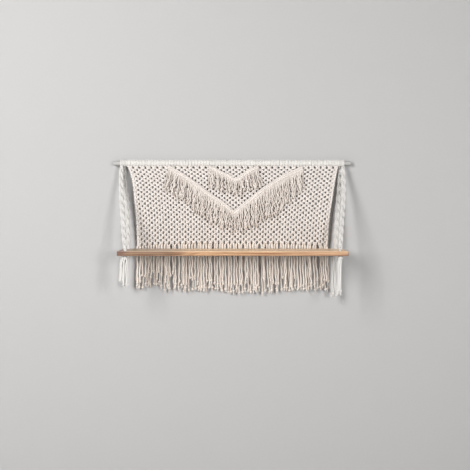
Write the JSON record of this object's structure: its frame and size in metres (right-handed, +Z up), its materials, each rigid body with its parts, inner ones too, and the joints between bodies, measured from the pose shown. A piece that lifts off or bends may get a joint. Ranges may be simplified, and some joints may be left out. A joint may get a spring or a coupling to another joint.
{
  "type": "macrame wall shelf with its dowel and wooden board",
  "caption": "Knotted cotton wall hanging on a painted dowel, with fringed chevron ridges and a wooden shelf board carried by plaited ropes.",
  "frame": {"origin": "middle of the dowel's axis, where the wall's hooks carry it", "axes": "+X to the right along the dowel, +Y towards the wall, +Z up; the board stands out towards -Y"},
  "size_m": [0.83, 0.164, 0.482],
  "materials": {
    "natural_cotton": "matt twisted cotton cord, warm off-white",
    "natural_cotton_rope": "matt cotton cord in loose plaits, off-white",
    "painted_dowel": "pale satin paint",
    "oiled_wood": "oiled light hardwood with a darker, redder end"
  },
  "bodies": {
    "root": {"dowel": "painted_dowel", "board": "oiled_wood", "heading_net": "natural_cotton", "heading_rope_left": "natural_cotton_rope", "heading_rope_right": "natural_cotton_rope", "net_panel": "natural_cotton", "chevron_large": "natural_cotton", "chevron_small": "natural_cotton", "fringe_large": "natural_cotton", "fringe_small": "natural_cotton", "fringe_bottom": "natural_cotton", "rope_left_front": "natural_cotton_rope", "rope_left_rear": "natural_cotton_rope", "rope_right_front": "natural_cotton_rope", "rope_right_rear": "natural_cotton_rope", "knot_left_front": "natural_cotton_rope", "knot_left_rear": "natural_cotton_rope", "knot_right_front": "natural_cotton_rope", "knot_right_rear": "natural_cotton_rope", "tassel_left_front": "natural_cotton_rope", "tassel_left_rear": "natural_cotton_rope", "tassel_right_front": "natural_cotton_rope", "tassel_right_rear": "natural_cotton_rope"}
  },
  "joints": []
}
